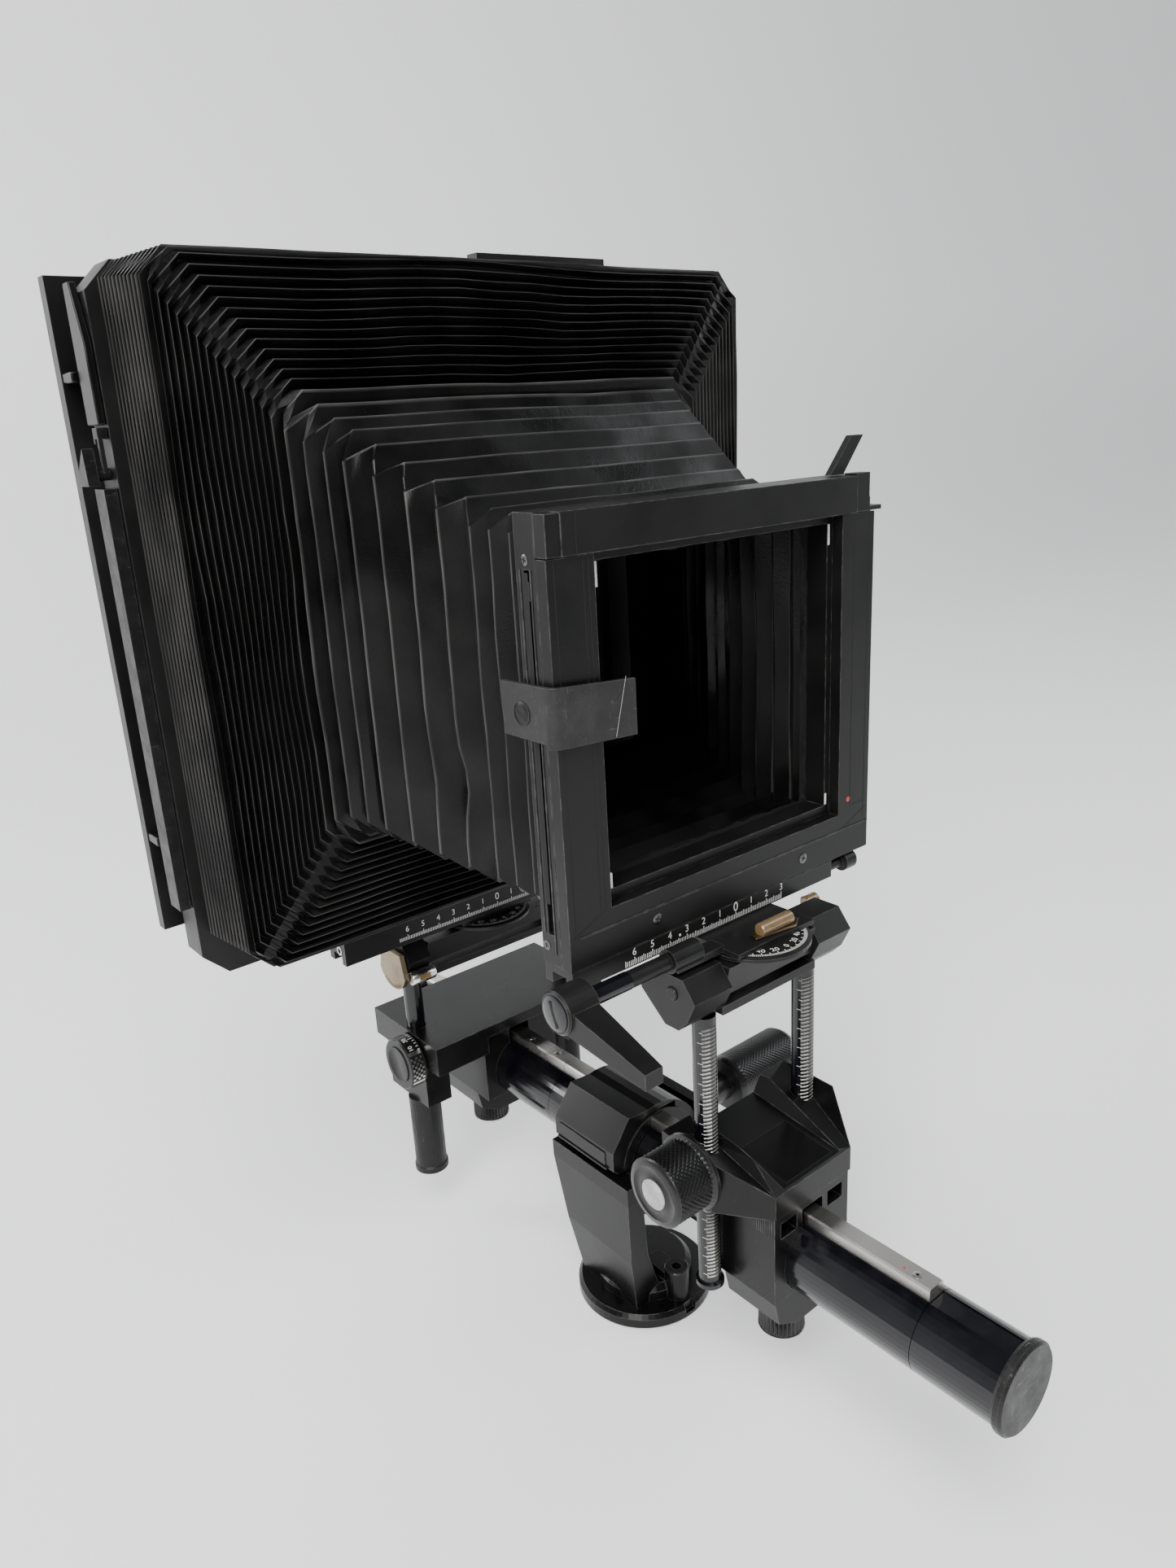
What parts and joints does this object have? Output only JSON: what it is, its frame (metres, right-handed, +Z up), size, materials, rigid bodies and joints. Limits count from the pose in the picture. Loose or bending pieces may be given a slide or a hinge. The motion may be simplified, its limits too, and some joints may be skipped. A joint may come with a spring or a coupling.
{
  "type": "view camera",
  "caption": "Monorail view camera with a tapering bellows, a small front frame, a large rear frame, geared standards and a rail head that stands on a tripod.",
  "frame": {"origin": "centre of the underside of the tripod head, where the tripod's screw goes in", "axes": "+Z up, the camera's front faces -Y, +X is to the right seen from the front, and the rail runs along Y"},
  "size_m": [0.353, 0.426, 0.5425],
  "materials": {
    "black_paint": "fine grained semi-gloss black paint, worn at the ridges",
    "black_tube": "glossy black anodised tube",
    "black_plastic": "moulded black plastic with wear",
    "bare_steel": "bright steel",
    "brass": "lacquered brass",
    "bellows_cloth": "pleated black leather cloth, lined",
    "rubber": "ribbed black rubber",
    "ground_glass": "dark frosted glass"
  },
  "bodies": {
    "head_base": {"head_base_plate": "black_paint"},
    "head_upright": {"head_upright": "black_paint"},
    "head_grip": {"head_grip": "rubber"},
    "clamp_jaw": {"rail_clamp_jaw": "black_paint"},
    "rail": {"rail_front_section": "black_tube", "rail_tube": "black_tube", "rail_rear_section": "black_tube", "rail_cap_front": "black_plastic", "rail_cap_rear": "black_plastic", "rack_front": "bare_steel", "rack_rear": "bare_steel", "rail_stud_front": "bare_steel", "rail_stud_rear": "bare_steel", "bellows_taper": "bellows_cloth"},
    "front_carriage": {"front_yoke": "black_paint", "front_rail_block": "black_paint"},
    "front_jaw": {"front_clamp_jaw": "black_paint"},
    "front_clamp": {"front_clamp_knob": "black_plastic"},
    "front_rise_drive": {"front_rise_knob": "black_plastic"},
    "front_riser": {"front_rod_left": "bare_steel", "front_rod_right": "bare_steel", "front_bearer": "black_paint", "front_tilt_pin": "bare_steel", "bellows_narrow": "bellows_cloth"},
    "front_cradle": {"front_tilt_cradle": "black_paint", "front_degree_disc": "black_paint"},
    "front_turntable": {"front_turntable": "black_paint", "front_level": "brass"},
    "front_lever": {"front_lock_lever": "black_paint"},
    "front_frame": {"front_shift_bar": "black_paint", "front_frame_body": "black_paint", "front_board_rim": "black_paint", "bellows_front": "bellows_cloth"},
    "front_shift_drive": {"front_shift_knob": "black_plastic"},
    "front_latch": {"front_latch_bar": "black_paint"},
    "latch_lever": {"front_latch_lever": "black_paint"},
    "front_clip": {"front_clip": "black_plastic"},
    "rear_carriage": {"rear_housing": "black_paint", "rear_rail_block": "black_paint", "rear_rod_tube_left": "black_plastic", "rear_rod_tube_right": "black_plastic"},
    "rear_jaw": {"rear_clamp_jaw": "black_paint"},
    "rear_clamp": {"rear_clamp_knob": "black_plastic"},
    "rear_focus_drive": {"rear_focus_knob": "black_plastic"},
    "rear_riser": {"rear_rod_left": "bare_steel", "rear_rod_right": "bare_steel", "rear_bearer": "black_paint", "rear_tilt_pin": "bare_steel", "rear_tilt_scale": "brass"},
    "rear_cradle": {"rear_tilt_cradle": "black_paint", "rear_degree_disc": "black_paint"},
    "rear_turntable": {"rear_turntable": "black_paint"},
    "rear_frame": {"rear_shift_bar": "black_paint", "rear_frame_body": "black_paint", "rear_side_rail": "black_plastic", "bellows_stack": "bellows_cloth"},
    "rear_back": {"rear_back_frame": "black_paint", "rear_ground_glass": "ground_glass", "rear_back_handle": "black_paint"},
    "bail_lever": {"rear_bail_lever": "black_plastic"}
  },
  "joints": [
    {"name": "pan", "type": "hinge", "parent": "head_base", "child": "head_upright", "pos_m": [0, 0, 0], "axis": [0, 0, 1], "continuous": true},
    {"name": "rail_lock", "type": "hinge", "parent": "head_upright", "child": "head_grip", "pos_m": [0, 0, 0.0945], "axis": [1, 0, 0], "range_deg": [0, 120]},
    {"name": "rail_clamp_hinge", "type": "hinge", "parent": "head_upright", "child": "clamp_jaw", "pos_m": [-0.0265, 0, 0.0945], "axis": [0, -1, 0], "range_deg": [0, 60]},
    {"name": "rail_slide", "type": "slide", "parent": "head_upright", "child": "rail", "axis": [0, 1, 0], "range_m": [-0.055, 0.03]},
    {"name": "front_focus", "type": "slide", "parent": "rail", "child": "front_carriage", "axis": [0, -1, 0], "range_m": [-0.03, 0.055], "deforming": ["bellows_taper"]},
    {"name": "front_jaw_release", "type": "slide", "parent": "front_carriage", "child": "front_jaw", "axis": [0, 0, -1], "range_m": [0, 0.0012]},
    {"name": "front_clamp_screw", "type": "hinge", "parent": "front_jaw", "child": "front_clamp", "pos_m": [0, -0.0986, 0.0535], "axis": [0, 0, 1], "range_deg": [0, 270]},
    {"name": "front_rise", "type": "slide", "parent": "front_carriage", "child": "front_riser", "axis": [0, 0, 1], "range_m": [-0.055, 0.04], "deforming": ["bellows_narrow"]},
    {"name": "front_rise_turn", "type": "hinge", "parent": "front_carriage", "child": "front_rise_drive", "pos_m": [0, -0.0841, 0.1395], "axis": [1, 0, 0], "range_deg": [-530, 385]},
    {"name": "front_tilt", "type": "hinge", "parent": "front_riser", "child": "front_cradle", "pos_m": [0, -0.0836, 0.2295], "axis": [1, 0, 0], "range_deg": [-20, 20]},
    {"name": "front_swing", "type": "hinge", "parent": "front_cradle", "child": "front_turntable", "pos_m": [0, -0.0836, 0.0915], "axis": [0, 0, 1], "range_deg": [-20, 20]},
    {"name": "front_lock", "type": "hinge", "parent": "front_turntable", "child": "front_lever", "pos_m": [-0.104, -0.0836, 0.2445], "axis": [1, 0, 0], "range_deg": [-60, 0]},
    {"name": "front_shift", "type": "slide", "parent": "front_turntable", "child": "front_frame", "axis": [1, 0, 0], "range_m": [-0.04, 0.04], "deforming": ["bellows_front"]},
    {"name": "front_shift_lock", "type": "hinge", "parent": "front_frame", "child": "front_shift_drive", "pos_m": [0, -0.0686, 0.2453], "axis": [1, 0, 0], "range_deg": [-180, 0]},
    {"name": "front_latch_lift", "type": "slide", "parent": "front_frame", "child": "front_latch", "axis": [0, 0, 1], "range_m": [0, 0.004]},
    {"name": "front_latch_turn", "type": "hinge", "parent": "front_frame", "child": "latch_lever", "pos_m": [0.072, -0.0628, 0.4259], "axis": [0, -1, 0], "range_deg": [0, 50]},
    {"name": "front_clip_slide", "type": "slide", "parent": "front_frame", "child": "front_clip", "axis": [0, 0, 1], "range_m": [-0.07, 0.04]},
    {"name": "rear_focus", "type": "slide", "parent": "rail", "child": "rear_carriage", "axis": [0, -1, 0], "range_m": [-0.03, 0.05]},
    {"name": "rear_focus_turn", "type": "hinge", "parent": "rear_carriage", "child": "rear_focus_drive", "pos_m": [0, 0.1234, 0.1125], "axis": [1, 0, 0], "range_deg": [-195, 322]},
    {"name": "rear_jaw_release", "type": "slide", "parent": "rear_carriage", "child": "rear_jaw", "axis": [0, 0, -1], "range_m": [0, 0.0012]},
    {"name": "rear_clamp_screw", "type": "hinge", "parent": "rear_jaw", "child": "rear_clamp", "pos_m": [0, 0.1414, 0.0535], "axis": [0, 0, 1], "range_deg": [0, 270]},
    {"name": "rear_rise", "type": "slide", "parent": "rear_carriage", "child": "rear_riser", "axis": [0, 0, 1], "range_m": [-0.025, 0.04]},
    {"name": "rear_tilt", "type": "hinge", "parent": "rear_riser", "child": "rear_cradle", "pos_m": [0, 0.1294, 0.1751], "axis": [1, 0, 0], "range_deg": [-10, 10]},
    {"name": "rear_swing", "type": "hinge", "parent": "rear_cradle", "child": "rear_turntable", "pos_m": [0, 0.1294, 0.0915], "axis": [0, 0, 1], "range_deg": [-15, 15]},
    {"name": "rear_shift", "type": "slide", "parent": "rear_turntable", "child": "rear_frame", "axis": [1, 0, 0], "range_m": [-0.04, 0.04], "deforming": ["bellows_stack"]},
    {"name": "rear_back_open", "type": "slide", "parent": "rear_frame", "child": "rear_back", "axis": [0, 1, 0], "range_m": [0, 0.008]},
    {"name": "rear_bail_turn", "type": "hinge", "parent": "rear_frame", "child": "bail_lever", "pos_m": [-0.171, 0.1324, 0.4435], "axis": [1, 0, 0], "range_deg": [0, 80]}
  ],
  "couplings": [
    {"joint": "front_rise_turn", "follows": "front_rise", "rad_per_m": 166.67},
    {"joint": "rear_focus_turn", "follows": "rear_focus", "rad_per_m": 111.11}
  ]
}
